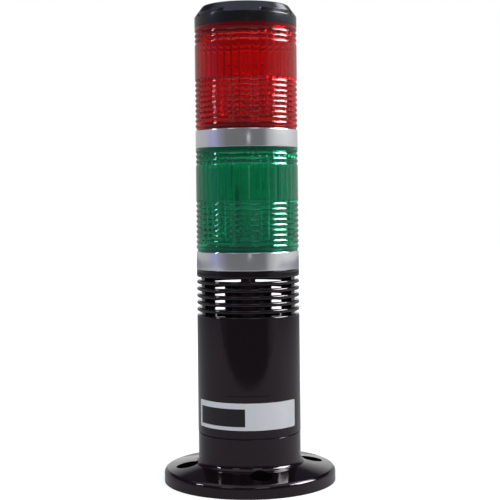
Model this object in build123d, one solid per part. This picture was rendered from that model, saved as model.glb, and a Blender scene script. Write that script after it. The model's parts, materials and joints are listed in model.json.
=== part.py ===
from build123d import *
import os
from math import cos, degrees, radians, sqrt, tan

# Stack light: two lens modules over a sounder housing on a round mounting flange.
# The axis is Z, the flange stands on Z = 0 and the label side of the housing faces -Y.
# All sizes are millimetres and degrees.

# Tower
tower_radius = 30.0
base_height = 28.5
housing_height = 94.7
ring_height = 10.4
lens_height = 60.0
cap_height = 12.4
seam_chamfer = 0.3
fit_clearance = 0.2
thread_gap = 0.02  # threads are left out: this is the gap round a plain shank in its hole
cutter_margin = 1.0  # how far a cutting shape reaches past the face that it opens

# Mounting flange
rim_reach = 20.0
rim_height = 7.2
rim_foot_width = 3.0
rim_rounding = 2.7
flange_slope = 11.0
flange_wall = 3.0
neck_inset = 0.15
neck_rounding = 3.2
screw_count = 4
screw_first_angle = -80.0
screw_hole_radius = 3.0
screw_recess_radius = 6.35
screw_recess_gap = 0.65
screw_seat_height = 4.5
screw_boss_wall = 2.2
stiffener_width = 2.5
deck_thickness = 3.0
deck_drop = 1.0
spigot_depth = 6.0
spigot_wall = 2.5

# Cable grommet
grommet_seat_radius = 8.0
grommet_lip_width = 2.5
grommet_lip = 1.5
cable_hole_radius = 4.5

# Tie rods
rod_radius = 1.5
rod_hole_clearance = 0.2
nut_across_flats = 5.5
nut_height = 2.4
washer_radius = 3.0
washer_gap = 0.1
washer_thickness = 0.5
rod_end_length = 2.0

# Housing and its sound grille
housing_wall = 2.5
slot_count = 6
slot_pitch = 4.0
slot_height = 1.6
slot_top_margin = 4.4
slot_edge_rounding = 1.1
grille_wall = 3.5
strut_inset = 2.7
strut_depth = 2.3
side_strut_width = 22.0
front_strut_width = 8.0
end_step_radial = 1.0
end_step_depth = 2.4
ledge_width = 2.0
ledge_height = 2.0
ledge_drop = 3.5

# Sounder and its carrier
carrier_thickness = 2.5
guide_wall = 0.9
guide_gap = 0.3
guide_depth = 9.0
sounder_height = 18.4
sounder_edge = 0.8
sounder_port_radius = 4.0
sounder_port_depth = 3.0
sounder_ear_gap = 1.0
sounder_ear_edge = 2.2
sounder_ear_width = 7.0
sounder_ear_rounding = 2.1
sounder_ear_thickness = 1.5
small_screw_radius = 1.2
small_head_radius = 2.2
small_head_height = 1.3
small_head_gap = 0.2
small_screw_length = 6.0

# Control board
board_margin = 2.6
board_corner = 3.0
board_thickness = 1.6
board_post_radius = 3.0
board_post_inset = 4.0
terminal_width = 25.0
terminal_depth = 8.0
terminal_height = 10.0
terminal_poles = 5
terminal_hole_side = 3.0
terminal_hole_depth = 6.0
terminal_offset = 4.0
capacitor_radius = 4.0
capacitor_height = 11.0
capacitor_gap = 1.0
capacitor_offset = 8.0

# Flat two-core leads from the board to the sounder and the lamp holders
lead_width = 2.8
lead_thickness = 1.3
lead_inset = 1.5
lead_offset = 3.0
lead_drop = 3.0
lead_bend = 6.0
sounder_lead_row = 8.0

# Metal rings and the lamp plates inside them
ring_edge = 0.25
plate_lip_depth = 3.0
plate_wall = 2.0
plate_floor = 2.5
plate_floor_rise = 4.0
seal_thickness = 0.8

# Lenses
lens_wall = 2.5
groove_pitch = 3.0
groove_depth = 0.85
lower_groove_start = 1.3
lower_groove_count = 10
upper_groove_start = 3.0
upper_groove_count = 3
flute_count = 40
flute_depth = 0.6
flute_land = 0.6
flute_margin = 6.0

# Lamps and their holders
holder_foot_margin = 2.4
holder_foot_height = 2.0
holder_block_side = 11.0
holder_block_drop = 6.0
contact_radius = 2.0
contact_height = 3.5
shell_gap = 0.4
shell_wall = 0.6
shell_height = 14.0
bayonet_slot_depth = 7.0
bayonet_turn = 25.0
lamp_cap_radius = 7.6
lamp_cap_height = 14.0
lamp_pin_radius = 1.0
lamp_pin_gap = 0.4
bulb_radius = 9.0
bulb_flare = 1.5
bulb_straight = 13.0

# Top plate and screw cap
neck_step = 3.4
neck_wall = 1.5
neck_height = 4.1
cup_depth = 4.0
thread_clearance = 0.9
cap_seal_width = 0.8
cap_seal_thickness = 1.0
cap_skirt_height = 6.1
cap_crown_inset = 4.0
cap_crown_edge = 0.6
cap_crown_wall = 2.4
cap_roof = 2.0
grip_count = 4
grip_angle = 47.0
grip_turn = 41.0
grip_depth = 1.6
neck_top_gap = 0.3

# Radii and widths that pieces share
housing_inner = tower_radius - housing_wall
lens_inner = tower_radius - lens_wall
step_radius = housing_inner + end_step_radial
collar_radius = step_radius - fit_clearance / 2
lip_radius = lens_inner - fit_clearance
plate_inner = lip_radius - plate_wall
neck_radius = tower_radius - neck_step
neck_bore = neck_radius - neck_wall
rod_offset = neck_bore - washer_gap - washer_radius
rod_hole_radius = rod_radius + rod_hole_clearance
grille_inner = tower_radius - grille_wall
strut_outer = tower_radius - strut_inset
strut_inner = strut_outer - strut_depth
guide_outer = min(strut_inner, plate_inner) - guide_gap
guide_inner = rod_offset - rod_hole_radius - guide_wall
sounder_ear_reach = guide_inner - sounder_ear_gap
sounder_screw_offset = sounder_ear_reach - sounder_ear_edge
sounder_radius = sounder_screw_offset - small_head_radius - small_head_gap
board_half = (housing_inner - board_margin - board_corner) / sqrt(2) + board_corner
board_post_offset = board_half - board_post_inset
lead_row = board_half - lead_inset
shell_inner = lamp_cap_radius + shell_gap
shell_radius = shell_inner + shell_wall
bayonet_slot_width = 2 * lamp_pin_radius + lamp_pin_gap

# Levels, from the flange up
housing_low = base_height
lower_ring_low = housing_low + housing_height
green_lens_low = lower_ring_low + ring_height
upper_ring_low = green_lens_low + lens_height
red_lens_low = upper_ring_low + ring_height
cap_low = red_lens_low + lens_height
deck_high = base_height - deck_drop
deck_low = deck_high - deck_thickness
strut_high = lower_ring_low - plate_lip_depth - fit_clearance
band_low = lower_ring_low - slot_top_margin
slot_first = band_low - slot_height
slot_last = slot_first - (slot_count - 1) * slot_pitch
carrier_low = slot_last - ledge_drop
carrier_high = carrier_low + carrier_thickness
board_high = carrier_low - capacitor_height - capacitor_gap
board_low = board_high - board_thickness
cup_floor_high = cap_low - cup_depth

bottom_up = (Align.CENTER, Align.CENTER, Align.MIN)


def disc(radius, low, high):
    return Pos(0, 0, low) * Cylinder(radius, high - low, align=bottom_up)


def tube(outer, inner, low, high):
    return disc(outer, low, high) - disc(inner, low, high)


def revolved(outline, rounded=()):
    """Turns a closed outline of (radius, height) points about Z, with some corners rounded."""
    face = make_face(Polyline(*outline, close=True))
    for corner, radius in rounded:
        face = fillet(face.vertices().sort_by_distance(Vector(*outline[corner]))[0], radius)
    return revolve(Plane.XZ * face, axis=Axis.Z)


def at_rods(shape):
    return [Pos(side * rod_offset, 0, 0) * shape for side in (-1, 1)]


def rod_holes(low, high):
    return at_rods(disc(rod_hole_radius, low, high))


def around(count, radius, first=0.0):
    return PolarLocations(radius, count, start_angle=first).locations


# Base

def base_flange():
    rim = tower_radius + rim_reach
    foot_bore = rim - rim_foot_width
    neck = tower_radius - neck_inset
    bore = neck - flange_wall
    spigot = housing_inner - fit_clearance
    rise = tan(radians(flange_slope))
    neck_foot = rim_height + (rim - neck) * rise

    def under(radius):
        return rim_height + (rim - radius) * rise - flange_wall / cos(radians(flange_slope))

    outline = [
        (foot_bore, 0),
        (rim, 0),
        (rim, rim_height),
        (neck, neck_foot),
        (neck, base_height - seam_chamfer),
        (neck - seam_chamfer, base_height),
        (spigot, base_height),
        (spigot, base_height + spigot_depth),
        (spigot - spigot_wall, base_height + spigot_depth),
        (spigot - spigot_wall, deck_high),
        (grommet_seat_radius, deck_high),
        (grommet_seat_radius, deck_low),
        (bore, deck_low),
        (bore, under(bore)),
        (foot_bore, under(foot_bore)),
    ]
    rounded = [(2, rim_rounding), (3, neck_rounding)]
    body = revolved(outline, rounded)
    outside = [(0, 0), *outline[1:4], (neck, base_height), (0, base_height)]
    envelope = revolved(outside, rounded)
    screw_circle = tower_radius + screw_recess_gap + screw_recess_radius
    holes = around(screw_count, screw_circle, screw_first_angle)
    between = around(screw_count, (bore + foot_bore) / 2, screw_first_angle + 180 / screw_count)
    boss = disc(screw_recess_radius + screw_boss_wall, 0, base_height)
    length = foot_bore - bore + 2 * cutter_margin
    stiffener = Box(length, stiffener_width, base_height / 2, align=bottom_up)
    added = [place * boss for place in holes] + [place * stiffener for place in between]
    body += envelope & (Part() + added) - disc(bore, 0, deck_high)
    body -= [place * disc(screw_recess_radius, screw_seat_height, base_height) for place in holes]
    body -= [place * disc(screw_hole_radius, 0, screw_seat_height) for place in holes]
    return body - rod_holes(deck_low, deck_high)


def cable_grommet():
    waist = grommet_seat_radius - fit_clearance / 2
    lip = grommet_seat_radius + grommet_lip_width
    return revolved([
        (cable_hole_radius, deck_low - grommet_lip),
        (lip, deck_low - grommet_lip),
        (lip, deck_low),
        (waist, deck_low),
        (waist, deck_high),
        (lip, deck_high),
        (lip, deck_high + grommet_lip),
        (cable_hole_radius, deck_high + grommet_lip),
    ])


# Housing with the sounder inside

def strut_bars(clearance=0.0):
    """The blanks of the grille's four struts, wide at the tie rods and narrow at front and back."""
    length = tower_radius + clearance
    height = strut_high - carrier_low
    side = Box(2 * length, side_strut_width + 2 * clearance, height, align=bottom_up)
    front = Box(front_strut_width + 2 * clearance, 2 * length, height, align=bottom_up)
    return Pos(0, 0, carrier_low) * side + Pos(0, 0, carrier_low) * front


def grille_ring(low, high):
    section = [(grille_inner, low), (tower_radius, low), (tower_radius, high), (grille_inner, high)]
    return revolved(section, [(1, slot_edge_rounding), (2, slot_edge_rounding)])


def housing():
    top = lower_ring_low
    shell = revolved([
        (housing_inner, housing_low),
        (tower_radius - seam_chamfer, housing_low),
        (tower_radius, housing_low + seam_chamfer),
        (tower_radius, slot_last),
        (grille_inner, slot_last),
        (grille_inner, carrier_low),
        (housing_inner - ledge_width, carrier_low),
        (housing_inner - ledge_width, carrier_low - ledge_height),
        (housing_inner, carrier_low - ledge_height - ledge_width),
    ], [(3, slot_edge_rounding)])
    band = revolved([
        (grille_inner, band_low),
        (tower_radius, band_low),
        (tower_radius, top),
        (step_radius, top),
        (step_radius, top - end_step_depth),
        (housing_inner, top - end_step_depth),
        (housing_inner, strut_high),
        (grille_inner, strut_high),
    ], [(1, slot_edge_rounding)])
    lows = [slot_last + slot_height + slot * slot_pitch for slot in range(slot_count - 1)]
    rings = [grille_ring(low, low + slot_pitch - slot_height) for low in lows]
    struts = tube(strut_outer, strut_inner, carrier_high, strut_high) & strut_bars()
    return struts + [shell, band, *rings]


def sounder_carrier():
    body = disc(grille_inner - fit_clearance, carrier_low, carrier_high)
    rim = tube(tower_radius, strut_inner - fit_clearance, carrier_low, carrier_high)
    body -= rim & strut_bars(fit_clearance)
    guide_top = lower_ring_low + plate_floor_rise - fit_clearance
    guide = Box(guide_outer - guide_inner, guide_depth, guide_top - carrier_high, align=bottom_up)
    middle = (guide_inner + guide_outer) / 2
    guides = Part() + [Pos(side * middle, 0, carrier_high) * guide for side in (-1, 1)]
    body += guides & disc(guide_outer, carrier_high, guide_top)
    body += [place * disc(board_post_radius, board_high, carrier_low) for place in board_places()]
    body -= [place * disc(small_screw_radius, board_high, carrier_low) for place in board_places()]
    screw_hole = disc(small_screw_radius, carrier_low, carrier_high)
    body -= [Pos(side * sounder_screw_offset, 0, 0) * screw_hole for side in (-1, 1)]
    body -= lamp_lead_slots(carrier_low, carrier_thickness)
    body -= lead_slot(0, sounder_lead_row, carrier_low, carrier_thickness)
    return body - rod_holes(carrier_low, guide_top)


def sounder():
    low = carrier_high
    body = revolved([
        (0, low),
        (sounder_radius, low),
        (sounder_radius, low + sounder_height - sounder_edge),
        (sounder_radius - sounder_edge, low + sounder_height),
        (sounder_port_radius, low + sounder_height),
        (sounder_port_radius, low + sounder_height - sounder_port_depth),
        (0, low + sounder_height - sounder_port_depth),
    ])
    ears = Box(2 * sounder_ear_reach, sounder_ear_width, sounder_ear_thickness, align=bottom_up)
    body += Pos(0, 0, low) * fillet(ears.edges().filter_by(Axis.Z), sounder_ear_rounding)
    hole = disc(small_screw_radius, low, low + sounder_ear_thickness)
    return body - [Pos(side * sounder_screw_offset, 0, 0) * hole for side in (-1, 1)]


def small_screw(bearing, upward):
    """A pan-head screw whose head bears on a level; its shank runs up or down from there."""
    shank_radius = small_screw_radius - thread_gap
    if upward:
        return (disc(small_head_radius, bearing - small_head_height, bearing)
                + disc(shank_radius, bearing, bearing + small_screw_length))
    return (disc(small_head_radius, bearing, bearing + small_head_height)
            + disc(shank_radius, bearing - small_screw_length, bearing))


def board_places():
    return [Pos(side * board_post_offset, side * board_post_offset, 0) for side in (-1, 1)]


def lead_slot(x, y, low, height):
    slot = Box(lead_width + 2 * fit_clearance, lead_thickness + 2 * fit_clearance, height, align=bottom_up)
    return Pos(x, y, low) * slot


def lamp_lead_slots(low, height):
    return [lead_slot(side * lead_offset, lead_row, low, height) for side in (-1, 1)]


def control_board():
    blank = Box(2 * board_half, 2 * board_half, board_thickness, align=bottom_up)
    body = Pos(0, 0, board_low) * fillet(blank.edges().filter_by(Axis.Z), board_corner)
    return body - [place * disc(small_screw_radius, board_low, board_high) for place in board_places()]


def terminal_block():
    low = board_low - terminal_height
    block = Box(terminal_width, terminal_depth, terminal_height, align=bottom_up)
    entry = Box(terminal_hole_side, terminal_hole_side, terminal_hole_depth, align=bottom_up)
    pitch = terminal_width / terminal_poles
    columns = [(pole - (terminal_poles - 1) / 2) * pitch for pole in range(terminal_poles)]
    return Pos(0, -terminal_offset, low) * (block - [Pos(x, 0, 0) * entry for x in columns])


def capacitor():
    can = disc(capacitor_radius, board_high, board_high + capacitor_height)
    return Pos(capacitor_offset, -capacitor_offset, 0) * can


def sounder_lead():
    length = carrier_high - board_high
    return Pos(0, sounder_lead_row, board_high) * Box(lead_width, lead_thickness, length, align=bottom_up)


# Each lens module is built with the underside of its metal ring on Z = 0.

def metal_ring():
    return revolved([
        (step_radius, 0),
        (tower_radius - ring_edge, 0),
        (tower_radius, ring_edge),
        (tower_radius, ring_height - ring_edge),
        (tower_radius - ring_edge, ring_height),
        (step_radius, ring_height),
    ])


def lamp_plate():
    collar_low = seal_thickness - end_step_depth
    collar_high = ring_height - seal_thickness
    floor_high = plate_floor_rise + plate_floor
    block_hole = holder_block_side + fit_clearance
    body = revolved([
        (plate_inner, -plate_lip_depth),
        (lip_radius, -plate_lip_depth),
        (lip_radius, collar_low),
        (collar_radius, collar_low),
        (collar_radius, collar_high),
        (lip_radius, collar_high),
        (lip_radius, ring_height + plate_lip_depth),
        (plate_inner, ring_height + plate_lip_depth),
        (plate_inner, floor_high),
        (0, floor_high),
        (0, plate_floor_rise),
        (plate_inner, plate_floor_rise),
    ])
    body -= Pos(0, 0, plate_floor_rise) * Box(block_hole, block_hole, plate_floor, align=bottom_up)
    body -= lamp_lead_slots(plate_floor_rise, plate_floor)
    return body - rod_holes(plate_floor_rise, floor_high)


def lip_seal(low):
    return tube(collar_radius, lip_radius + fit_clearance / 2, low, low + seal_thickness)


def flute_tool(low, high):
    """A round core with rounded lobes, which cuts the flutes of a lens from the inside."""
    core = lens_inner - fit_clearance / 2
    pitch = 360 / flute_count
    half = pitch / 2 - degrees(flute_land / 2 / core)
    arcs = []
    for flute in range(flute_count):
        middle = flute * pitch
        start = Vector(core, 0).rotate(Axis.Z, middle - half)
        crest = Vector(lens_inner + flute_depth, 0).rotate(Axis.Z, middle)
        end = Vector(core, 0).rotate(Axis.Z, middle + half)
        ridge = Vector(core, 0).rotate(Axis.Z, middle + pitch / 2)
        following = Vector(core, 0).rotate(Axis.Z, middle + pitch - half)
        arcs += [ThreePointArc(start, crest, end), ThreePointArc(end, ridge, following)]
    return Pos(0, 0, low) * extrude(make_face(arcs), high - low)


def lens():
    low = ring_height
    high = low + lens_height
    half = groove_pitch / 2
    bottom = tower_radius - groove_depth
    grooves = [low + lower_groove_start + n * groove_pitch for n in range(lower_groove_count)]
    grooves += [high - upper_groove_start - n * groove_pitch for n in reversed(range(upper_groove_count))]
    outline = [(lens_inner, low), (bottom, low)]
    for middle in grooves:
        if middle - half > outline[-1][1]:
            outline.append((tower_radius, middle - half))
        outline += [(bottom, middle), (tower_radius, middle + half)]
    outline += [
        (tower_radius, high),
        (step_radius, high),
        (step_radius, high - end_step_depth),
        (lens_inner, high - end_step_depth),
    ]
    return revolved(outline) - flute_tool(low + flute_margin, high - flute_margin)


def lamp_holder():
    foot_low = plate_floor_rise + plate_floor
    foot_high = foot_low + holder_foot_height
    block = Box(holder_block_side, holder_block_side, holder_block_drop, align=bottom_up)
    body = disc(shell_radius + holder_foot_margin, foot_low, foot_high)
    body += Pos(0, 0, foot_low - holder_block_drop) * block
    return body + disc(contact_radius, foot_high, foot_high + contact_height)


def lamp_shell():
    low = plate_floor_rise + plate_floor + holder_foot_height
    high = low + shell_height
    body = tube(shell_radius, shell_inner, low, high)
    slot_low = high - bayonet_slot_depth
    depth = shell_wall + 2 * cutter_margin
    middle = (shell_inner + shell_radius) / 2
    entry = Pos(middle, 0, slot_low) * Box(depth, bayonet_slot_width, bayonet_slot_depth, align=bottom_up)
    section = Pos(middle, slot_low + bayonet_slot_width / 2) * Rectangle(depth, bayonet_slot_width)
    leg = revolve(Plane.XZ * section, axis=Axis.Z, revolution_arc=bayonet_turn)
    for side in (0, 180):
        body -= [Rot(0, 0, side) * entry, Rot(0, 0, side) * leg]
    return body


def lamp():
    foot_high = plate_floor_rise + plate_floor + holder_foot_height
    low = foot_high + contact_height
    cap_high = low + lamp_cap_height
    shoulder = cap_high + bulb_flare
    dome_low = shoulder + bulb_straight
    half = make_face([
        Polyline((0, dome_low + bulb_radius), (0, low), (lamp_cap_radius, low), (lamp_cap_radius, cap_high),
                 (bulb_radius, shoulder), (bulb_radius, dome_low)),
        RadiusArc((bulb_radius, dome_low), (0, dome_low + bulb_radius), -bulb_radius),
    ])
    body = revolve(Plane.XZ * half, axis=Axis.Z)
    pin_level = foot_high + shell_height - bayonet_slot_depth + bayonet_slot_width / 2
    pin_turn = bayonet_turn - degrees(bayonet_slot_width / 2 / shell_inner)
    pin = Pos(0, 0, pin_level) * Rot(0, 90, 0) * Cylinder(lamp_pin_radius, 2 * shell_radius)
    return body + Rot(0, 0, pin_turn) * pin


def lamp_lead(side, ring_low):
    """A flat lead that rises from the board and bends in under a lamp plate to the holder's block."""
    x = side * lead_offset
    level = ring_low + plate_floor_rise - lead_drop
    corners = [(x, lead_row, board_high), (x, lead_row, level), (x, holder_block_side / 2, level)]
    section = Plane(corners[0]) * Rectangle(lead_width, lead_thickness)
    return sweep(section, path=FilletPolyline(*corners, radius=lead_bend))


# Clamping and cap

def tie_rod(side):
    low = deck_low - washer_thickness - nut_height - rod_end_length
    high = cup_floor_high + washer_thickness + nut_height + rod_end_length
    return Pos(side * rod_offset, 0, 0) * disc(rod_radius, low, high)


def rod_washer(side, low):
    return Pos(side * rod_offset, 0, 0) * tube(washer_radius, rod_hole_radius, low, low + washer_thickness)


def rod_nut(side, low):
    hexagon = RegularPolygon(nut_across_flats / 2, 6, major_radius=False, rotation=30)
    nut = Pos(0, 0, low) * extrude(hexagon, nut_height) - disc(rod_radius + thread_gap, low, low + nut_height)
    return Pos(side * rod_offset, 0, 0) * nut


def top_plate():
    flange_low = cap_low - end_step_depth + seal_thickness
    floor_low = cup_floor_high - plate_floor
    body = revolved([
        (0, floor_low),
        (lip_radius, floor_low),
        (lip_radius, flange_low),
        (collar_radius, flange_low),
        (collar_radius, cap_low),
        (neck_radius, cap_low),
        (neck_radius, cap_low + neck_height),
        (neck_bore, cap_low + neck_height),
        (neck_bore, cup_floor_high),
        (0, cup_floor_high),
    ])
    return body - rod_holes(floor_low, cup_floor_high)


def cap_seal():
    inner = neck_radius + thread_clearance
    return tube(inner + cap_seal_width, inner, cap_low, cap_low + cap_seal_thickness)


def top_cap():
    bore = neck_radius + thread_clearance
    seal_bore = bore + cap_seal_width + fit_clearance / 2
    seal_high = cap_low + cap_seal_thickness
    bore_high = cap_low + neck_height + neck_top_gap
    skirt_high = cap_low + cap_skirt_height
    cap_high = cap_low + cap_height
    crown = tower_radius - cap_crown_inset
    grip_radius = tower_radius - grip_depth
    crown_bore = crown - cap_crown_wall
    body = revolved([
        (seal_bore, cap_low),
        (tower_radius, cap_low),
        (tower_radius, skirt_high),
        (crown, cap_high - cap_crown_edge),
        (crown - cap_crown_edge, cap_high),
        (0, cap_high),
        (0, cap_high - cap_roof),
        (crown_bore, cap_high - cap_roof),
        (crown_bore, bore_high),
        (bore, bore_high),
        (bore, seal_high),
        (seal_bore, seal_high),
    ])
    depth = grip_depth + cutter_margin
    height = cap_high - skirt_high + cutter_margin
    section = Pos(grip_radius + depth / 2, skirt_high + height / 2) * Rectangle(depth, height)
    grip = revolve(Plane.XZ * section, axis=Axis.Z, revolution_arc=grip_angle)
    step = 360 / grip_count
    return body - [Rot(0, 0, grip_turn - grip_angle / 2 + n * step) * grip for n in range(grip_count)]


def tier(colour, ring_low, module):
    """One lens module: the shared pieces raised to its level, with its seals and its own lead."""
    pieces = {f"{colour}_{name}": Pos(0, 0, ring_low) * piece for name, piece in module.items()}
    pieces[colour + "_plate_seal"] = lip_seal(ring_low - end_step_depth)
    pieces[colour + "_lens_seal"] = lip_seal(ring_low + ring_height - seal_thickness)
    return pieces


def clamping():
    under_deck = deck_low - washer_thickness
    pieces = {}
    for name, side in (("left", -1), ("right", 1)):
        pieces[name + "_tie_rod"] = tie_rod(side)
        pieces[name + "_lower_washer"] = rod_washer(side, under_deck)
        pieces[name + "_lower_nut"] = rod_nut(side, under_deck - nut_height)
        pieces[name + "_upper_washer"] = rod_washer(side, cup_floor_high)
        pieces[name + "_upper_nut"] = rod_nut(side, cup_floor_high + washer_thickness)
    return pieces


def board_screws():
    return {f"board_screw_{n + 1}": place * small_screw(board_low, True) for n, place in enumerate(board_places())}


def sounder_screws():
    bearing = carrier_high + sounder_ear_thickness
    return {
        name + "_sounder_screw": Pos(side * sounder_screw_offset, 0, 0) * small_screw(bearing, False)
        for name, side in (("left", -1), ("right", 1))
    }


def all_pieces():
    module = {
        "ring": metal_ring(),
        "lamp_plate": lamp_plate(),
        "lamp_holder": lamp_holder(),
        "lamp_shell": lamp_shell(),
        "lamp": lamp(),
        "lens": lens(),
    }
    pieces = {
        "base_flange": base_flange(),
        "cable_grommet": cable_grommet(),
        "housing": housing(),
        "sounder_carrier": sounder_carrier(),
        "sounder": sounder(),
        "control_board": control_board(),
        "terminal_block": terminal_block(),
        "capacitor": capacitor(),
        "sounder_lead": sounder_lead(),
        "green_lead": lamp_lead(-1, lower_ring_low),
        "red_lead": lamp_lead(1, upper_ring_low),
        "top_plate": top_plate(),
        "top_plate_seal": lip_seal(cap_low - end_step_depth),
        "cap_seal": cap_seal(),
        "top_cap": top_cap(),
    }
    pieces |= tier("green", lower_ring_low, module) | tier("red", upper_ring_low, module)
    return pieces | clamping() | board_screws() | sounder_screws()


os.makedirs("parts", exist_ok=True)
for node, shape in all_pieces().items():
    export_step(shape, f"parts/{node}.step")
    print(node, round(shape.volume, 1))
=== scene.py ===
import json
from math import cos, pi, radians, sin, sqrt, tan

import bmesh
import bpy
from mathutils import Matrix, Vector


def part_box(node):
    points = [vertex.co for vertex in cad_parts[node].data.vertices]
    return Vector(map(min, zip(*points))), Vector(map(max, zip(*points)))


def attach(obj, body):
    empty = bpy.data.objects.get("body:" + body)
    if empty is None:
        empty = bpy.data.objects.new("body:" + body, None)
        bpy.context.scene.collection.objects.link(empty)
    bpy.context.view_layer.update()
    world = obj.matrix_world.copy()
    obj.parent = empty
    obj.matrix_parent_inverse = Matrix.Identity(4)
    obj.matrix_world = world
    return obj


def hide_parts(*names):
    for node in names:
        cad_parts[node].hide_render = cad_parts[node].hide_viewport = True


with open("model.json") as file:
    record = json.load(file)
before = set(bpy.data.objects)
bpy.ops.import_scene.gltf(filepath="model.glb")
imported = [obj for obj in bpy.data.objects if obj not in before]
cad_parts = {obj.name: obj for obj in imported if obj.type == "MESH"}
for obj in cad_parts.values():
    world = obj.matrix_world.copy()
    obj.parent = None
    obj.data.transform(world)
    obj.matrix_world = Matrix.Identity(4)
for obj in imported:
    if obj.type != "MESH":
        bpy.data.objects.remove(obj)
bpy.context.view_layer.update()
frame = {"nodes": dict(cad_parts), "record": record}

mm = 0.001
print("frame loaded:", len(frame["nodes"]), "solids")


# Small tools

def linear(hexCode):
    parts = [int(hexCode[i:i + 2], 16) / 255 for i in (1, 3, 5)]
    curve = [c / 12.92 if c <= 0.04045 else ((c + 0.055) / 1.055) ** 2.4 for c in parts]
    return (*curve, 1.0)


def addNode(tree, kind, inputs=None, **settings):  # inputs take a value, a node or a socket
    node = tree.nodes.new(kind)
    for name, value in settings.items():
        setattr(node, name, value)
    for key, source in (inputs or {}).items():
        if isinstance(source, bpy.types.Node):
            source = source.outputs[0]
        if isinstance(source, bpy.types.NodeSocket):
            tree.links.new(source, node.inputs[key])
        else:
            node.inputs[key].default_value = source
    return node


def startMaterial(name, **sockets):  # a shader with its plain values set on its own sockets
    material = bpy.data.materials.new(name)
    material.use_nodes = True
    tree = material.node_tree
    tree.nodes.clear()
    shader = addNode(tree, "ShaderNodeBsdfPrincipled")
    for key, value in sockets.items():
        shader.inputs[key.replace("_", " ")].default_value = value
    addNode(tree, "ShaderNodeOutputMaterial", {"Surface": shader})
    coords = addNode(tree, "ShaderNodeTexCoord").outputs["Object"]
    return material, tree, shader, coords


def perMetre(sizeInMm):  # a noise scale whose features have this size
    return 1 / (sizeInMm * mm)


def lowOf(node):  # a node's lowest level in mm
    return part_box(node)[0][2] / mm


def highOf(node):
    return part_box(node)[1][2] / mm


# Camera, set from the photograph's perspective

view = {
    "imagePixels": 500,
    "focalPixels": 1150,
    "distance": 675.8 * mm,
    "height": 162.2 * mm,
    "horizonRow": 202,
    "axisColumn": 247.25,  # where the tower's axis crosses the horizon
    "lean": 0.6,  # degrees that the picture is turned
    "sensor": 36.0,
}


def placeCamera(v):
    data = bpy.data.cameras.new("camera")
    data.sensor_width = v["sensor"]
    data.lens = v["sensor"] * v["focalPixels"] / v["imagePixels"]
    middle = v["imagePixels"] / 2
    data.shift_y = (v["horizonRow"] - middle) / v["imagePixels"]
    camera = bpy.data.objects.new("camera", data)
    bpy.context.collection.objects.link(camera)
    side = (middle - v["axisColumn"]) / v["focalPixels"] * v["distance"]
    camera.location = (side, -v["distance"], v["height"])
    camera.rotation_euler = (radians(90), radians(v["lean"]), 0)
    bpy.context.scene.camera = camera
    bpy.context.scene.view_settings.view_transform = "Standard"


placeCamera(view)
print("camera placed")


# Room, floor and lamps. A direction is in degrees round the tower from the front, to the right.

room = {
    "walls": (  # direction, brightness, and how lilac the wall is
        (-180, 1.00, 0), (-168, 1.00, 0), (-164, 0.50, 0), (-112, 0.45, 0), (-98, 0.42, 0), (-92, 0.38, 1),
        (-76, 0.38, 1), (-62, 0.24, 0.6), (-50, 0.20, 0.2), (-46, 0.16, 0), (40, 0.15, 0), (50, 0.40, 0),
        (70, 0.60, 0), (100, 0.70, 0), (150, 0.56, 0), (164, 0.50, 0), (168, 1.00, 0), (180, 1.00, 0)),
    "lilac": (0.93, 0.93, 1.45),
    "wallTop": 14.0,  # degrees above the horizon
    "wallEnd": 24.0,
    "aboveWalls": (0.050, 0.046, 0.060),
    "ceiling": (0.78, 0.84, 1.00),
    "ceilingFrom": 42.0,
    "ceilingTo": 62.0,
    "floor": ((-2.0, -0.38), (2.0, 3.0)),  # a wide table top that ends not far in front of the tower
    "floorColour": "#a8a8a8",
    "floorLift": (0.64, 1.0),  # what the camera sees on top of the lit floor: near the tower and far off
    "floorNear": 0.12,
    "floorFar": 0.60,
}


def buildRoom(r):
    world = bpy.data.worlds.new("softRoom")
    world.use_nodes = True
    bpy.context.scene.world = world
    tree = world.node_tree
    tree.nodes.clear()
    direction = addNode(tree, "ShaderNodeTexCoord").outputs["Generated"]
    parts = addNode(tree, "ShaderNodeSeparateXYZ", {0: direction})
    front = addNode(tree, "ShaderNodeMath", {0: parts.outputs["Y"], 1: -1.0}, operation="MULTIPLY")
    turn = addNode(tree, "ShaderNodeMath", {0: parts.outputs["X"], 1: front}, operation="ARCTAN2")
    share = addNode(tree, "ShaderNodeMapRange", {"Value": turn, "From Min": -pi, "From Max": pi})
    ramp = addNode(tree, "ShaderNodeValToRGB", {"Fac": share})
    stops = ramp.color_ramp.elements
    while len(stops) < len(r["walls"]):
        stops.new(0.5)
    for stop, (angle, level, lilac) in zip(stops, r["walls"]):
        stop.position = (angle + 180) / 360
        stop.color = (*[level * (1 + (part - 1) * lilac) for part in r["lilac"]], 1)
    rise = addNode(tree, "ShaderNodeMath", {0: parts.outputs["Z"]}, operation="ARCSINE")
    over = addNode(tree, "ShaderNodeMapRange", {
        "Value": rise, "From Min": radians(r["wallTop"]), "From Max": radians(r["wallEnd"])})
    above = addNode(tree, "ShaderNodeMapRange", {
        "Value": rise, "From Min": radians(r["ceilingFrom"]), "From Max": radians(r["ceilingTo"])})
    walls = addNode(tree, "ShaderNodeMix", {0: over, 6: ramp, 7: (*r["aboveWalls"], 1)}, data_type="RGBA")
    level = addNode(tree, "ShaderNodeMix", {
        0: above, 6: walls.outputs[2], 7: (*r["ceiling"], 1)}, data_type="RGBA")
    light = addNode(tree, "ShaderNodeBackground", {"Color": level.outputs[2], "Strength": 1.0})
    white = addNode(tree, "ShaderNodeBackground", {"Color": (1, 1, 1, 1), "Strength": 1.0})
    rays = addNode(tree, "ShaderNodeLightPath").outputs
    both = addNode(tree, "ShaderNodeMixShader", {0: rays["Is Camera Ray"], 1: light, 2: white})
    addNode(tree, "ShaderNodeOutputWorld", {"Surface": both})


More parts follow.
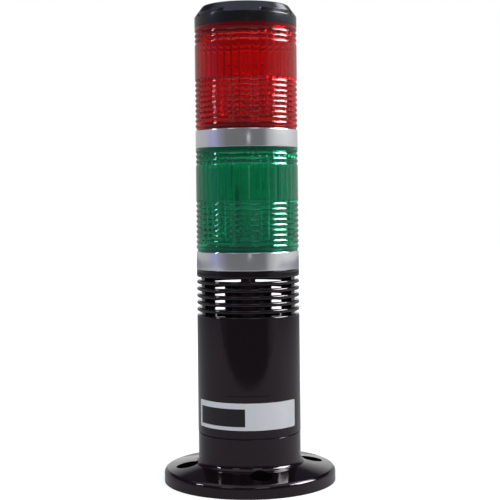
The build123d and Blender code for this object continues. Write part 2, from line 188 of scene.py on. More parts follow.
def layFloor(r):
    mesh = bpy.data.meshes.new("studioFloor")
    (left, front), (right, back) = r["floor"]
    corners = [(left, front, 0), (right, front, 0), (right, back, 0), (left, back, 0)]
    mesh.from_pydata(corners, [], [(0, 1, 2, 3)])
    floor = bpy.data.objects.new("studioFloor", mesh)
    bpy.context.collection.objects.link(floor)
    material, tree, shader, coords = startMaterial(
        "paintedFloor", Base_Color=linear(r["floorColour"]), Roughness=0.8, Emission_Color=(1, 1, 1, 1))
    speckle = addNode(tree, "ShaderNodeTexNoise", {"Vector": coords, "Scale": perMetre(8)})
    bump = addNode(tree, "ShaderNodeBump", {"Height": speckle.outputs["Fac"], "Distance": 0.00005})
    tree.links.new(bump.outputs[0], shader.inputs["Normal"])
    rays = addNode(tree, "ShaderNodeLightPath").outputs
    seen = addNode(tree, "ShaderNodeMath", {0: rays["Is Camera Ray"], 1: rays["Is Transmission Ray"]},
                   operation="MAXIMUM")
    away = addNode(tree, "ShaderNodeVectorMath", {0: coords}, operation="LENGTH").outputs["Value"]
    near, far = r["floorLift"]
    level = addNode(tree, "ShaderNodeMapRange", {
        "Value": away, "From Min": r["floorNear"], "From Max": r["floorFar"],
        "To Min": near, "To Max": far})
    lift = addNode(tree, "ShaderNodeMath", {0: seen, 1: level}, operation="MULTIPLY")
    tree.links.new(lift.outputs[0], shader.inputs["Emission Strength"])
    mesh.materials.append(material)


# Each lamp has its direction and height in degrees, its distance and size in metres and its power in watts.
# A card shows only in gloss, and one with "through" also in and behind the lenses.
lamps = {
    "windowRight": {"turn": 92, "rise": 37, "away": 0.9, "size": (0.50, 0.34), "power": 18, "card": True,
                    "through": True},
    "windowBack": {"turn": 128, "rise": 45, "away": 0.9, "size": (0.35, 0.25), "power": 1.2, "card": True},
    "tickLeft": {"turn": -82, "rise": 33, "away": 0.9, "size": (0.08, 0.18), "power": 1.8, "card": True},
    "stripLeft": {"turn": -35, "rise": 36, "away": 0.9, "size": (0.22, 0.22), "power": 0.30, "card": True},
    "stripRight": {"turn": 19, "rise": 36, "away": 0.9, "size": (0.26, 0.22), "power": 0.50, "card": True},
    "slit": {"turn": 4.6, "rise": 6, "away": 0.9, "size": (0.045, 0.14), "power": 0.024, "card": True},
    "softTop": {"turn": 0, "rise": 60, "away": 1.1, "size": (1.60, 0.90), "power": 11, "card": False},
    "softRight": {"turn": 75, "rise": 35, "away": 1.1, "size": (0.80, 0.60), "power": 4.5, "card": False},
    "softLeft": {"turn": -75, "rise": 35, "away": 1.1, "size": (0.80, 0.60), "power": 3.2, "card": False},
}


def hangLamps():
    aim = Vector((0, 0, highOf("top_cap") * mm / 2))
    for name, lamp in lamps.items():
        data = bpy.data.lights.new(name, "AREA")
        data.shape = "RECTANGLE"
        data.size, data.size_y = lamp["size"]
        data.energy = lamp["power"]
        light = bpy.data.objects.new(name, data)
        bpy.context.collection.objects.link(light)
        turn, rise = radians(lamp["turn"]), radians(lamp["rise"])
        away = Vector((sin(turn) * cos(rise), -cos(turn) * cos(rise), sin(rise)))
        light.location = aim + away * lamp["away"]
        light.rotation_euler = away.to_track_quat("Z", "Y").to_euler()
        light.visible_diffuse = not lamp["card"]
        light.visible_glossy = lamp["card"]
        light.visible_transmission = lamp.get("through", False)
        light.visible_camera = False


buildRoom(room)
layFloor(room)
hangLamps()
print("room lit")


# Materials

def glossAbs():  # injection-moulded ABS, polished tool: black with a faint brown, clear soft reflections
    material, tree, shader, coords = startMaterial(
        "glossAbs", Base_Color=linear("#0d080b"), IOR=1.53, Specular_IOR_Level=0.38,
        Specular_Tint=(1.0, 0.84, 0.93, 1.0))
    haze = addNode(tree, "ShaderNodeTexNoise", {"Vector": coords, "Scale": perMetre(14), "Detail": 3.0})
    rough = addNode(tree, "ShaderNodeMapRange", {
        "Value": haze.outputs["Fac"], "From Min": 0.3, "From Max": 0.7, "To Min": 0.06, "To Max": 0.10})
    tree.links.new(rough.outputs[0], shader.inputs["Roughness"])
    peel = addNode(tree, "ShaderNodeTexNoise", {"Vector": coords, "Scale": perMetre(2.5), "Detail": 1.0})
    bump = addNode(tree, "ShaderNodeBump", {
        "Height": peel.outputs["Fac"], "Distance": 0.00002, "Strength": 0.5})
    tree.links.new(bump.outputs[0], shader.inputs["Normal"])
    return material


def satinAbs(name, hexCode):  # ABS from a spark-eroded tool: dull and finely grained
    material, tree, shader, coords = startMaterial(
        name, Base_Color=linear(hexCode), IOR=1.53, Specular_IOR_Level=0.42,
        Specular_Tint=(0.80, 0.84, 1.0, 1.0))
    grain = addNode(tree, "ShaderNodeTexNoise", {"Vector": coords, "Scale": perMetre(0.5)})
    rough = addNode(tree, "ShaderNodeMapRange", {
        "Value": grain.outputs["Fac"], "To Min": 0.15, "To Max": 0.22})
    tree.links.new(rough.outputs[0], shader.inputs["Roughness"])
    bump = addNode(tree, "ShaderNodeBump", {
        "Height": grain.outputs["Fac"], "Distance": 0.00002, "Strength": 0.4})
    tree.links.new(bump.outputs[0], shader.inputs["Normal"])
    return material


def dyedPolycarbonate(name, hexCode, tint, through):  # moulded and clear, deeply dyed: glassy, saturated
    material, tree, shader, coords = startMaterial(
        name, Base_Color=linear(hexCode), IOR=1.585, Specular_IOR_Level=0.17, Transmission_Weight=through,
        Specular_Tint=(*tint, 1))
    flow = addNode(tree, "ShaderNodeTexNoise", {"Vector": coords, "Scale": perMetre(9), "Detail": 2.0})
    rough = addNode(tree, "ShaderNodeMapRange", {
        "Value": flow.outputs["Fac"], "To Min": 0.005, "To Max": 0.02})
    tree.links.new(rough.outputs[0], shader.inputs["Roughness"])
    bump = addNode(tree, "ShaderNodeBump", {
        "Height": flow.outputs["Fac"], "Distance": 0.00002, "Strength": 0.2})
    tree.links.new(bump.outputs[0], shader.inputs["Normal"])
    return material


def anodisedAluminium():  # turned and satin anodised: bright grey, soft reflections, fine turning lines
    material, tree, shader, coords = startMaterial(
        "anodisedAluminium", Base_Color=linear("#eceef2"), Metallic=1.0)
    lines = addNode(tree, "ShaderNodeMapping", {"Vector": coords, "Scale": (1, 1, 60)})
    turning = addNode(tree, "ShaderNodeTexNoise", {"Vector": lines, "Scale": perMetre(12), "Detail": 4.0})
    rough = addNode(tree, "ShaderNodeMapRange", {
        "Value": turning.outputs["Fac"], "To Min": 0.14, "To Max": 0.24})
    tree.links.new(rough.outputs[0], shader.inputs["Roughness"])
    bump = addNode(tree, "ShaderNodeBump", {
        "Height": turning.outputs["Fac"], "Distance": 0.000005, "Strength": 0.3})
    tree.links.new(bump.outputs[0], shader.inputs["Normal"])
    return material


def platedMetal(name, hexCode, cloudSize):  # zinc or nickel plating: a thin bright coat, slightly cloudy
    material, tree, shader, coords = startMaterial(name, Base_Color=linear(hexCode), Metallic=1.0)
    cloud = addNode(tree, "ShaderNodeTexNoise", {
        "Vector": coords, "Scale": perMetre(cloudSize), "Detail": 3.0})
    rough = addNode(tree, "ShaderNodeMapRange", {
        "Value": cloud.outputs["Fac"], "To Min": 0.22, "To Max": 0.4})
    tree.links.new(rough.outputs[0], shader.inputs["Roughness"])
    return material


def mottled(name, dark, pale, roughness, sizeInMm, **sockets):  # moulded or printed, slightly uneven
    material, tree, shader, coords = startMaterial(name, **sockets)
    cloud = addNode(tree, "ShaderNodeTexNoise", {
        "Vector": coords, "Scale": perMetre(sizeInMm), "Detail": 3.0})
    tint = addNode(tree, "ShaderNodeMix", {
        0: cloud.outputs["Fac"], 6: linear(dark), 7: linear(pale)}, data_type="RGBA")
    tree.links.new(tint.outputs[2], shader.inputs["Base Color"])
    rough = addNode(tree, "ShaderNodeMapRange", {
        "Value": cloud.outputs["Fac"], "To Min": roughness - 0.06, "To Max": roughness + 0.06})
    tree.links.new(rough.outputs[0], shader.inputs["Roughness"])
    return material


materials = {
    "black_abs": glossAbs(),
    "inner_abs": satinAbs("innerSatinAbs", "#120f11"),
    "anodised_ring": anodisedAluminium(),
    "red_lens": dyedPolycarbonate("redPolycarbonate", "#de0408", (1.0, 0.40, 0.42), 0.9),
    "green_lens": dyedPolycarbonate("greenPolycarbonate", "#04ac7c", (0.40, 1.0, 0.85), 0.9),
    "bulb": dyedPolycarbonate("bulbGlass", "#f0f0ec", (1.0, 1.0, 1.0), 1.0),
    "plated_steel": platedMetal("zincPlatedSteel", "#b9bab8", 1.5),
    "holder_shell": platedMetal("nickelPlatedBrass", "#d0c9b8", 2.0),
    "holder_base": mottled("phenolicResin", "#2b1a12", "#4a2f20", 0.4, 0.8, IOR=1.6),  # pressed, dark brown
    "seal": mottled("nitrileRubber", "#151415", "#232222", 0.7, 3.0, IOR=1.52),  # matt black, faint bloom
    "board": mottled("epoxyGlassBoard", "#0f3f22", "#175231", 0.35, 1.2),
    "terminal": mottled("greenNylon", "#1c6b3c", "#227a46", 0.45, 4.0),
    "capacitor": mottled("shrinkSleeve", "#101226", "#171a33", 0.3, 6.0),
    "green_lead": mottled("blackPvc", "#17181a", "#1f2022", 0.4, 5.0),
    "red_lead": mottled("brownPvc", "#1a1615", "#241d1b", 0.4, 5.0),
}
capAbs = satinAbs("capSatinAbs", "#111013")  # the cap's finer grain: satin black, bluish in the light

# Metallised label foil, and the gloss ink printed on it
silverFoil = mottled("silverPolyester", "#d4d6da", "#dcdee2", 0.38, 9.0, Metallic=0.1)
blackPrint = mottled("blackPrint", "#1a1619", "#221e21", 0.3, 7.0, Specular_IOR_Level=0.3)


def dressSolids():
    for part in frame["record"]["subparts"]:
        mesh = frame["nodes"][part["node"]].data
        mesh.materials.clear()
        mesh.materials.append(materials[part["material_slot"]])


dressSolids()
print("solids dressed")


# Making of pieces

crispAngle = 35  # degrees between two faces, above which their edge isn't smoothed


def settle(name, mesh, body, replaced=()):  # gives a mesh its shading and its body, and hides the solids that it replaces
    mesh.name = name
    mesh.polygons.foreach_set("use_smooth", [True] * len(mesh.polygons))
    mesh.set_sharp_from_angle(angle=radians(crispAngle))
    piece = bpy.data.objects.new(name, mesh)
    bpy.context.collection.objects.link(piece)
    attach(piece, body)
    if replaced:
        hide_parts(*replaced)


def startTree(name, sizes):  # a Geometry Nodes tree with the sizes as its named inputs
    tree = bpy.data.node_groups.new(name, "GeometryNodeTree")
    tree.interface.new_socket(name="Geometry", in_out="OUTPUT", socket_type="NodeSocketGeometry")
    for label, value in sizes.items():
        kind = "NodeSocketInt" if isinstance(value, int) else "NodeSocketFloat"
        tree.interface.new_socket(name=label, in_out="INPUT", socket_type=kind)
    inputs = addNode(tree, "NodeGroupInput").outputs
    return tree, {label: inputs[label] for label in sizes}


# A step is a name and what is worked out under it, from numbers and from what is already known by name
def addSteps(tree, known, steps):
    for name, kind, *values in steps:
        inputs = {place: known[value] if isinstance(value, str) else value
                  for place, value in enumerate(values)}
        if kind == "CHOOSE":  # a test, the value where it fails and the value where it holds
            known[name] = addNode(tree, "GeometryNodeSwitch", inputs, input_type="FLOAT")
        else:
            known[name] = addNode(tree, "ShaderNodeMath", inputs, operation=kind)


def finishTree(tree, shape, material):
    real = addNode(tree, "GeometryNodeRealizeInstances", {0: shape})
    dressed = addNode(tree, "GeometryNodeSetMaterial", {"Geometry": real, "Material": material})
    addNode(tree, "NodeGroupOutput", {0: dressed})


def runTree(name, tree, sizes):  # runs the tree once and gives its plain mesh
    carrier = bpy.data.objects.new(name + "Carrier", bpy.data.meshes.new(name + "Carrier"))
    bpy.context.collection.objects.link(carrier)
    modifier = carrier.modifiers.new("shape", "NODES")
    modifier.node_group = tree
    for item in tree.interface.items_tree:
        if item.in_out == "INPUT":
            modifier[item.identifier] = sizes[item.name]
    mesh = bpy.data.meshes.new_from_object(carrier.evaluated_get(bpy.context.evaluated_depsgraph_get()))
    carrier.modifiers.remove(modifier)
    bpy.data.objects.remove(carrier)
    return mesh


def rounded(outline, corners):  # an outline in mm with some of its corners rounded
    steps = 4
    points = []
    for number, corner in enumerate(outline):
        radius = corners.get(number)
        if radius is None:
            points.append(Vector(corner))
            continue
        here = Vector(corner)
        back = (Vector(outline[number - 1]) - here).normalized()
        ahead = (Vector(outline[(number + 1) % len(outline)]) - here).normalized()
        reach = radius / tan(back.angle(ahead) / 2)
        for step in range(steps + 1):
            t = step / steps
            points.append(here + back * reach * (1 - t) ** 2 + ahead * reach * t ** 2)
    return points


def lathe(outlineAt, turns, material):  # the outline is asked for at each turn, so it may change
    rings = [outlineAt(turn) for turn in turns]
    count = len(rings[0])
    places = []
    for turn, ring in zip(turns, rings):
        across, along = sin(radians(turn)) * mm, -cos(radians(turn)) * mm
        places += [(radius * across, radius * along, height * mm) for radius, height in ring]
    faces = []
    for column in range(len(turns)):
        here, following = column * count, (column + 1) % len(turns) * count
        faces += [(here + p, following + p, following + (p + 1) % count, here + (p + 1) % count)
                  for p in range(count)]
    return closedMesh(places, faces, material)


def closedMesh(places, faces, material):
    mesh = bpy.data.meshes.new("shell")
    mesh.from_pydata(places, [], faces)
    work = bmesh.new()
    work.from_mesh(mesh)
    bmesh.ops.remove_doubles(work, verts=work.verts, dist=0.001 * mm)
    bmesh.ops.recalc_face_normals(work, faces=work.faces)
    work.to_mesh(mesh)
    work.free()
    mesh.materials.append(material)
    return mesh


def evenTurns(count):
    return [360 * n / count for n in range(count)]


def wrappedSheet(v, material):  # a thin sheet round the housing, with rounded corners
    columns = []
    steps, corner = v["steps"], v["corner"]
    width = radians(v["to"] - v["from"]) * v["outer"]
    cornerSteps = [corner * (1 - cos(pi / 2 * n / v["cornerSteps"])) for n in range(v["cornerSteps"] + 1)]
    between = [corner + (width - 2 * corner) * n / steps for n in range(1, steps)]
    for along in [*cornerSteps, *between, *[width - c for c in reversed(cornerSteps)]]:
        toEnd = max(corner - min(along, width - along), 0)
        trim = corner - sqrt(max(corner ** 2 - toEnd ** 2, 0))
        columns.append((along / width, v["low"] + trim, v["high"] - trim))
    places = []
    for share, low, high in columns:
        turn = radians(v["from"] + share * (v["to"] - v["from"]))
        inner, outer = v["inner"], v["outer"]
        for radius, height in ((inner, low), (outer, low), (outer, high), (inner, high)):
            places.append((radius * sin(turn) * mm, -radius * cos(turn) * mm, height * mm))
    faces = [(0, 1, 2, 3)]
    for column in range(len(columns) - 1):
        at = column * 4
        faces += [(at + p, at + 4 + p, at + 4 + (p + 1) % 4, at + (p + 1) % 4) for p in range(4)]
    last = len(places) - 4
    faces.append((last, last + 1, last + 2, last + 3))
    return closedMesh(places, faces, material)


# Lenses: ribs outside, flutes inside

lensSizes = {
    "Outer radius": 30.0 * mm,
    "Inner radius": 27.5 * mm,
    "Step radius": 28.5 * mm,
    "Step depth": 2.4 * mm,
    "Rib pitch": 3.0 * mm,
    "Rib depth": 0.65 * mm,
    "Lower ribs from": 1.3 * mm,  # the first valley, above the lens's lower edge
    "Lower ribs to": 29.8 * mm,
    "Lower shift": 0.2 * mm,  # brings the rows of points into the lower valleys
    "Shift below": 0.53,  # share of the height
    "Upper ribs from": 10.5 * mm,  # below the lens's upper edge
    "Upper ribs to": 1.5 * mm,
    "Flutes": 40,
    "Flute depth": 1.1 * mm,
    "Flute land": 0.14,  # share of the pitch between two flutes
    "Flute margin": 6.0 * mm,
    "Around": 320,
    "Outer rows": 160,
    "Inner rows": 32,
}


def lensTree(sizes, material):
    tree, known = startTree("ribbedLens", sizes)
    addSteps(tree, known, (
        ("rows on walls", "ADD", "Outer rows", "Inner rows"),
        ("rows", "ADD", "rows on walls", 5),  # both walls' last rows, two on the step and one that closes
        ("last row", "SUBTRACT", "rows", 1),
        ("columns", "ADD", "Around", 1),
    ))
    grid = addNode(tree, "GeometryNodeMeshGrid", {
        "Size X": 1.0, "Size Y": 1.0, "Vertices X": known["columns"], "Vertices Y": known["rows"]})
    place = addNode(tree, "ShaderNodeSeparateXYZ", {0: addNode(tree, "GeometryNodeInputPosition")}).outputs
    known.update({"across grid": place["X"], "up grid": place["Y"]})
    addSteps(tree, known, (
        ("share round", "ADD", "across grid", 0.5),
        ("turn", "MULTIPLY", "share round", 2 * pi),
        ("share up", "ADD", "up grid", 0.5),
        ("row place", "MULTIPLY", "share up", "last row"),
        ("row", "ROUND", "row place"),

        # Height on the outer wall
        ("climb share", "DIVIDE", "row", "Outer rows"),
        ("climb", "MINIMUM", "climb share", 1),
        ("in lower half", "LESS_THAN", "climb", "Shift below"),
        ("shift", "MULTIPLY", "in lower half", "Lower shift"),
        ("outer height", "MULTIPLY", "climb", "Height"),
        ("shifted height", "SUBTRACT", "outer height", "shift"),
        ("outer level", "MAXIMUM", "shifted height", 0),

        # Height across the step and down the inner wall
        ("step top", "SUBTRACT", "Height", "Step depth"),
        ("first inner row", "ADD", "Outer rows", 3),
        ("inner row", "SUBTRACT", "row", "first inner row"),
        ("inner share", "DIVIDE", "inner row", "Inner rows"),
        ("inner share up", "MAXIMUM", "inner share", 0),
        ("descend", "MINIMUM", "inner share up", 1),
        ("share left", "SUBTRACT", 1, "descend"),
        ("inner level", "MULTIPLY", "step top", "share left"),
        ("top row", "ADD", "Outer rows", 1.5),
        ("past top", "GREATER_THAN", "row", "top row"),
        ("level", "CHOOSE", "past top", "outer level", "inner level"),
        ("from top", "SUBTRACT", "Height", "level"),

        # Ribs: rounded crests with a sharp valley every pitch
        ("above first", "SUBTRACT", "level", "Lower ribs from"),
        ("lower phase", "MAXIMUM", "above first", 0),
        ("in upper", "LESS_THAN", "from top", "Upper ribs from"),
        ("phase", "CHOOSE", "in upper", "lower phase", "from top"),
        ("pitches", "DIVIDE", "phase", "Rib pitch"),
        ("rib angle", "MULTIPLY", "pitches", pi),
        ("swing", "SINE", "rib angle"),
        ("wave", "ABSOLUTE", "swing"),
        ("lower zone", "LESS_THAN", "level", "Lower ribs to"),
        ("below edge", "GREATER_THAN", "from top", "Upper ribs to"),
        ("upper zone", "MULTIPLY", "in upper", "below edge"),
        ("zone", "MAXIMUM", "lower zone", "upper zone"),
        ("dip", "SUBTRACT", 1, "wave"),
        ("valley", "MULTIPLY", "dip", "zone"),
        ("rib cut", "MULTIPLY", "valley", "Rib depth"),
        ("outer wall", "SUBTRACT", "Outer radius", "rib cut"),

        # Flutes: hollows down the inner wall that stop short of both ends
        ("flute turn", "MULTIPLY", "turn", "Flutes"),
        ("flute count", "DIVIDE", "flute turn", 2 * pi),
        ("flute share", "FRACT", "flute count"),
        ("across flute", "SUBTRACT", "flute share", 0.5),
        ("flute width", "SUBTRACT", 1, "Flute land"),
        ("half flute", "DIVIDE", "flute width", 2),
        ("offset", "DIVIDE", "across flute", "half flute"),
        ("offset squared", "MULTIPLY", "offset", "offset"),
        ("arch", "SUBTRACT", 1, "offset squared"),
        ("hollow", "MAXIMUM", "arch", 0),
        ("above low end", "GREATER_THAN", "level", "Flute margin"),
        ("below high end", "GREATER_THAN", "from top", "Flute margin"),
        ("between ends", "MULTIPLY", "above low end", "below high end"),
        ("hollow inside", "MULTIPLY", "hollow", "between ends"),
        ("flute", "MULTIPLY", "hollow inside", "Flute depth"),
        ("inner wall", "ADD", "Inner radius", "flute"),

        # Radius: the outer wall, the step, the inner wall, and the last row back on the outer wall
        ("step from", "ADD", "Outer rows", 0.5),
        ("on step", "GREATER_THAN", "row", "step from"),
        ("inner from", "ADD", "Outer rows", 2.5),
        ("on inner", "GREATER_THAN", "row", "inner from"),
        ("closing from", "SUBTRACT", "rows", 1.5),
        ("closing", "GREATER_THAN", "row", "closing from"),
        ("radius with step", "CHOOSE", "on step", "outer wall", "Step radius"),
        ("radius with inner", "CHOOSE", "on inner", "radius with step", "inner wall"),
        ("radius", "CHOOSE", "closing", "radius with inner", "outer wall"),

        ("cosine", "COSINE", "turn"),
        ("sine", "SINE", "turn"),
        ("x", "MULTIPLY", "radius", "cosine"),
        ("y", "MULTIPLY", "radius", "sine"),
        ("z", "ADD", "level", "Low"),
    ))
    point = addNode(tree, "ShaderNodeCombineXYZ", {"X": known["x"], "Y": known["y"], "Z": known["z"]})
    moved = addNode(tree, "GeometryNodeSetPosition", {"Geometry": grid, "Position": point})
    merged = addNode(tree, "GeometryNodeMergeByDistance", {"Geometry": moved, "Distance": 0.002 * mm})
    finishTree(tree, merged, material)
    return tree


def makeLens(colour):
    low, high = lowOf(colour + "_lens") * mm, highOf(colour + "_lens") * mm
    sizes = {**lensSizes, "Low": low, "Height": high - low}
    tree = lensTree(sizes, materials[colour + "_lens"])
    settle(colour + "_fluted_lens", runTree(colour + "Lens", tree, sizes), "tower",
           [colour + "_lens"])


makeLens("red")
makeLens("green")
print("lenses made")


# Metal rings under the lenses

ringSizes = {"inner": 28.5, "outer": 30.0, "edge": 0.4, "segments": 192}


def makeRing(colour, v):
    low, high = lowOf(colour + "_ring"), highOf(colour + "_ring")
    outline = rounded([(v["inner"], low), (v["outer"], low), (v["outer"], high), (v["inner"], high)],
                      {1: v["edge"], 2: v["edge"]})
    mesh = lathe(lambda turn: outline, evenTurns(v["segments"]), materials["anodised_ring"])
    settle(colour + "_metal_ring", mesh, "tower", [colour + "_ring"])


makeRing("red", ringSizes)
makeRing("green", ringSizes)
print("rings made")


# Sounder housing: two plain shells with the grille's rings and struts between them

housingSizes = {
    "outer": 30.0,
    "inner": 27.5,
    "stepRadius": 28.5,
    "stepDepth": 2.4,
    "ledgeWidth": 2.0,
    "ledgeHeight": 2.0,
    "ledgeDrop": 3.5,  # below the last slot
    "grilleInner": 26.5,
    "strutTop": 3.2,  # below the housing's top
    "edge": 0.35,
    "shoulder": 1.1,  # rounding of the edges beside the slots
    "slotTop": 4.4,  # below the housing's top
    "slotHeight": 1.6,
    "slotPitch": 4.0,
    "slots": 6,
    "hairlineLevel": 53.0,
    "hairlineWidth": 0.3,
    "hairlineDepth": 0.02,
    "seamHeight": 0.45,  # the dark gap over the base
    "seamDepth": 0.8,
    "seamEdge": 0.15,
    "flat": 0.4,  # keeps the walls straight beside an edge or a line
    "segments": 192,
}


def makeHousing(v):
    low, high = lowOf("housing"), highOf("housing")
    outer, inner = v["outer"], v["inner"]
    bandLow = high - v["slotTop"]
    slotsLow = bandLow - v["slotHeight"] - (v["slots"] - 1) * v["slotPitch"]
    carrier = slotsLow - v["ledgeDrop"]
    ledgeLow = carrier - v["ledgeHeight"]
    line, half, depth = v["hairlineLevel"], v["hairlineWidth"] / 2, v["hairlineDepth"]
    flat = v["flat"]
    lower = rounded([
        (inner, low), (outer - v["seamDepth"], low), (outer - v["seamDepth"], low + v["seamHeight"]),
        (outer, low + v["seamHeight"]), (outer, low + v["seamHeight"] + flat),
        (outer, line - half - flat), (outer, line - half), (outer - depth, line), (outer, line + half),
        (outer, line + half + flat), (outer, slotsLow - v["shoulder"] - flat), (outer, slotsLow),
        (v["grilleInner"], slotsLow), (v["grilleInner"], carrier), (inner - v["ledgeWidth"], carrier),
        (inner - v["ledgeWidth"], ledgeLow), (inner, ledgeLow - v["ledgeWidth"]),
    ], {3: v["seamEdge"], 11: v["shoulder"]})
    upper = rounded([
        (v["grilleInner"], bandLow), (outer, bandLow), (outer, high), (v["stepRadius"], high),
        (v["stepRadius"], high - v["stepDepth"]), (inner, high - v["stepDepth"]),
        (inner, high - v["strutTop"]), (v["grilleInner"], high - v["strutTop"]),
    ], {1: v["shoulder"], 2: v["edge"]})
    turns = evenTurns(v["segments"])
    settle("housing_shell", lathe(lambda turn: lower, turns, materials["black_abs"]), "tower",
           ["housing"])
    settle("housing_band", lathe(lambda turn: upper, turns, materials["black_abs"]), "tower")


grilleSizes = {
    "Rings": 5,
    "Ring pitch": 4.0 * mm,
    "Ring height": 2.4 * mm,
    "Ring outer": 30.0 * mm,
    "Ring inner": 26.5 * mm,
    "Ring rounding": 1.1 * mm,
    "Ring segments": 160,
    "Rounding steps": 5,
    "Strut outer": 27.3 * mm,
    "Strut inner": 25.0 * mm,
    "Side strut angle": radians(47.5),
    "Front strut angle": radians(16.8),
    "Strut rounding": 0.3 * mm,
    "Strut segments": 16,
}


def sweep(tree, path, width, height, rounding, count, caps):  # a rounded rectangle drawn along a path
    shape = addNode(tree, "GeometryNodeCurvePrimitiveQuadrilateral", {"Width": width, "Height": height})
    section = addNode(tree, "GeometryNodeFilletCurve", {"Curve": shape, "Count": count, "Radius": rounding},
                      mode="POLY")
    level = addNode(tree, "GeometryNodeSetCurveNormal", {"Curve": path}, mode="Z_UP")
    return addNode(tree, "GeometryNodeCurveToMesh", {
        "Curve": level, "Profile Curve": section, "Fill Caps": caps})


def grilleTree(sizes, material):
    tree, known = startTree("sounderGrille", sizes)
    addSteps(tree, known, (
        ("ring width", "SUBTRACT", "Ring outer", "Ring inner"),
        ("ring sum", "ADD", "Ring outer", "Ring inner"),
        ("ring middle", "DIVIDE", "ring sum", 2),
        ("strut width", "SUBTRACT", "Strut outer", "Strut inner"),
        ("strut sum", "ADD", "Strut outer", "Strut inner"),
        ("strut middle", "DIVIDE", "strut sum", 2),
        ("strut height", "SUBTRACT", "Strut high", "Strut low"),
        ("level sum", "ADD", "Strut high", "Strut low"),
        ("strut level", "DIVIDE", "level sum", 2),
    ))

    # One ring, then one copy of it for each level
    circle = addNode(tree, "GeometryNodeCurvePrimitiveCircle", {
        "Resolution": known["Ring segments"], "Radius": known["ring middle"]})
    ring = sweep(tree, circle, known["ring width"], known["Ring height"], known["Ring rounding"],
                 known["Rounding steps"], False)
    levels = addNode(tree, "GeometryNodeMeshLine", {
        "Count": known["Rings"],
        "Start Location": addNode(tree, "ShaderNodeCombineXYZ", {"Z": known["Lowest ring"]}),
        "Offset": addNode(tree, "ShaderNodeCombineXYZ", {"Z": known["Ring pitch"]})})
    pieces = [addNode(tree, "GeometryNodeInstanceOnPoints", {"Points": levels, "Instance": ring})]

    # A wide strut at each side and a narrow one at front and back
    for angle, first in (("Side strut angle", 0), ("Front strut angle", pi / 2)):
        addSteps(tree, known, (
            ("start", "MULTIPLY", angle, -0.5),
        ))
        arc = addNode(tree, "GeometryNodeCurveArc", {
            "Resolution": known["Strut segments"], "Radius": known["strut middle"],
            "Sweep Angle": known[angle], "Start Angle": known["start"]})
        strut = sweep(tree, arc, known["strut width"], known["strut height"], known["Strut rounding"],
                      known["Rounding steps"], True)
        ends = addNode(tree, "GeometryNodeMeshLine", {
            "Count": 2, "Offset": (0, 0, 0),
            "Start Location": addNode(tree, "ShaderNodeCombineXYZ", {"Z": known["strut level"]})})
        known["end"] = addNode(tree, "GeometryNodeInputIndex")
        addSteps(tree, known, (
            ("half turns", "MULTIPLY", "end", pi),
            ("turn", "ADD", "half turns", first),
        ))
        pieces.append(addNode(tree, "GeometryNodeInstanceOnPoints", {
            "Points": ends, "Instance": strut,
            "Rotation": addNode(tree, "ShaderNodeCombineXYZ", {"Z": known["turn"]})}))

    together = addNode(tree, "GeometryNodeJoinGeometry")
    for piece in pieces:
        tree.links.new(piece.outputs[0], together.inputs[0])
    finishTree(tree, together, material)
    return tree


def makeGrille(v):
    high = highOf("housing")
    slotsLow = high - v["slotTop"] - v["slotHeight"] - (v["slots"] - 1) * v["slotPitch"]
    firstRing = slotsLow + (v["slotHeight"] + v["slotPitch"]) / 2
    sizes = {**grilleSizes, "Lowest ring": firstRing * mm, "Strut low": lowOf("sounder") * mm,
             "Strut high": (high - v["strutTop"]) * mm}
    tree = grilleTree(sizes, materials["black_abs"])
    settle("housing_grille", runTree("grille", tree, sizes), "tower")


makeHousing(housingSizes)
makeGrille(housingSizes)
print("housing made")


# Label and small marks on the housing. Directions are in degrees, levels and radii in mm.

labelPlate = {
    "from": -68.3, "to": 59.5, "low": 33.6, "high": 48.9, "inner": 29.9, "outer": 30.12, "corner": 0.8,
    "cornerSteps": 5, "steps": 64}
labelPanel = {
    "from": -64.0, "to": -4.5, "low": 35.7, "high": 45.7, "inner": 30.05, "outer": 30.16, "corner": 0.3,
    "cornerSteps": 5, "steps": 32}
topTick = {
    "from": -6.1, "to": -5.1, "low": 120.2, "high": 122.6, "inner": 29.9, "outer": 30.1, "corner": 0.1,
    "cornerSteps": 5, "steps": 2}
partingLine = {
    "from": -0.2, "to": 0.2, "low": 54.0, "high": 96.0, "inner": 29.9, "outer": 30.03, "corner": 0.05,
    "cornerSteps": 5, "steps": 2}

settle("label_plate", wrappedSheet(labelPlate, silverFoil), "tower")
settle("label_panel", wrappedSheet(labelPanel, blackPrint), "tower")
settle("top_tick", wrappedSheet(topTick, materials["black_abs"]), "tower")
settle("parting_line", wrappedSheet(partingLine, materials["black_abs"]), "tower")
print("label made")


# Screw cap with its finger recesses

capSizes = {
    "outer": 30.0,
    "skirt": 6.1,
    "crown": 26.0,
    "crownEdge": 0.6,
    "grip": 28.4,  # radius of a recess's back
    "gripTurn": 41.0,
    "gripHalf": 23.5,
    "grips": 4,
    "sideSlope": 1.2,  # degrees over which a recess's side rises
    "sideTurns": (-0.5, -0.25, 0.0, 0.25, 0.5),  # outlines across a side, as shares of its slope
    "plainStep": 2,  # degrees between the outlines elsewhere
    "bore": 27.5,
    "sealBore": 28.4,
    "sealHigh": 1.0,
    "boreHigh": 4.4,
    "crownBore": 23.6,
    "roof": 2.0,
    "rounding": 0.5,
    "gripEdge": 0.2,
    "lowEdge": 0.3,
}


def capTurns(v):  # the directions of the outlines, closer together at the sides of the recesses
    half, step = v["gripHalf"], v["plainStep"]
    pitch = 360 / v["grips"]
    reach = round(pitch / 2) - 1  # each quarter keeps clear of the next one's first outline
    sides = [side * (half + v["sideSlope"] * share) for side in (-1, 1) for share in v["sideTurns"]]
    plain = [turn for turn in range(-reach, reach + step, step) if abs(abs(turn) - half) > v["sideSlope"]]
    return sorted({round(v["gripTurn"] + grip * pitch + turn, 3)
                   for grip in range(v["grips"]) for turn in (*sides, *plain)})


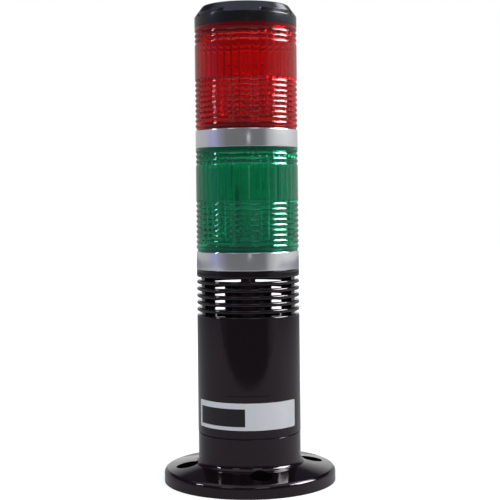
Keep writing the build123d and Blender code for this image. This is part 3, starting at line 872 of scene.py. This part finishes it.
def makeCap(v):
    low, high = lowOf("top_cap"), highOf("top_cap")
    skirt, edge = low + v["skirt"], v["crownEdge"]
    slope = (v["outer"] - v["crown"]) / (high - edge - skirt)
    inside = [(0, high), (0, high - v["roof"]), (v["crownBore"], high - v["roof"]),
              (v["crownBore"], low + v["boreHigh"]), (v["bore"], low + v["boreHigh"]),
              (v["bore"], low + v["sealHigh"]), (v["sealBore"], low + v["sealHigh"])]
    start = [(v["sealBore"], low), (v["outer"], low), (v["outer"], skirt)]
    corners = {1: v["lowEdge"], 2: v["rounding"], 3: v["gripEdge"], 4: v["gripEdge"], 5: v["rounding"],
               6: v["rounding"]}
    depth = v["outer"] - v["grip"]
    end = [(v["grip"], skirt + depth / slope), (v["crown"], high - edge), (v["crown"] - edge, high),
           *inside]
    land = rounded([*start, (v["outer"] - depth / 2, skirt + depth / 2 / slope), *end], corners)
    recess = rounded([*start, (v["grip"], skirt), *end], corners)

    def outlineAt(turn):
        pitch = 360 / v["grips"]
        off = abs((turn - v["gripTurn"] + pitch / 2) % pitch - pitch / 2)
        share = min(max((v["gripHalf"] - off) / v["sideSlope"] + 0.5, 0), 1)
        return [a.lerp(b, share) for a, b in zip(land, recess)]

    mesh = lathe(outlineAt, capTurns(v), capAbs)
    settle("screw_cap", mesh, "cap", ["top_cap"])


threadSizes = {
    "Radius": 26.7 * mm,
    "Width": 0.9 * mm,
    "Height": 1.3 * mm,
    "Rounding": 0.3 * mm,
    "Rounding steps": 3,
    "Pitch": 4.0 * mm,
    "Turns": 0.66,
    "Start": 0.8 * mm,  # above the neck's foot, where the cap's lower edge stands
    "Resolution": 96,
    "Starts": 2,
}


def threadTree(sizes, material):
    tree, known = startTree("neckThread", sizes)
    known["start number"] = addNode(tree, "GeometryNodeInputIndex")
    addSteps(tree, known, (
        ("rise", "MULTIPLY", "Pitch", "Turns"),
        ("level", "ADD", "Foot", "Start"),
        ("step", "DIVIDE", 2 * pi, "Starts"),
        ("turn", "MULTIPLY", "start number", "step"),
    ))
    helix = addNode(tree, "GeometryNodeCurveSpiral", {
        "Resolution": known["Resolution"], "Rotations": known["Turns"], "Start Radius": known["Radius"],
        "End Radius": known["Radius"], "Height": known["rise"]})
    ridge = sweep(tree, helix, known["Width"], known["Height"], known["Rounding"],
                  known["Rounding steps"], True)
    starts = addNode(tree, "GeometryNodeMeshLine", {
        "Count": known["Starts"], "Offset": (0, 0, 0),
        "Start Location": addNode(tree, "ShaderNodeCombineXYZ", {"Z": known["level"]})})
    placed = addNode(tree, "GeometryNodeInstanceOnPoints", {
        "Points": starts, "Instance": ridge,
        "Rotation": addNode(tree, "ShaderNodeCombineXYZ", {"Z": known["turn"]})})
    finishTree(tree, placed, material)
    return tree


def makeThread():
    sizes = {**threadSizes, "Foot": lowOf("top_cap") * mm}
    tree = threadTree(sizes, materials["inner_abs"])
    settle("neck_thread", runTree("thread", tree, sizes), "tower")


makeCap(capSizes)
makeThread()
print("cap made")
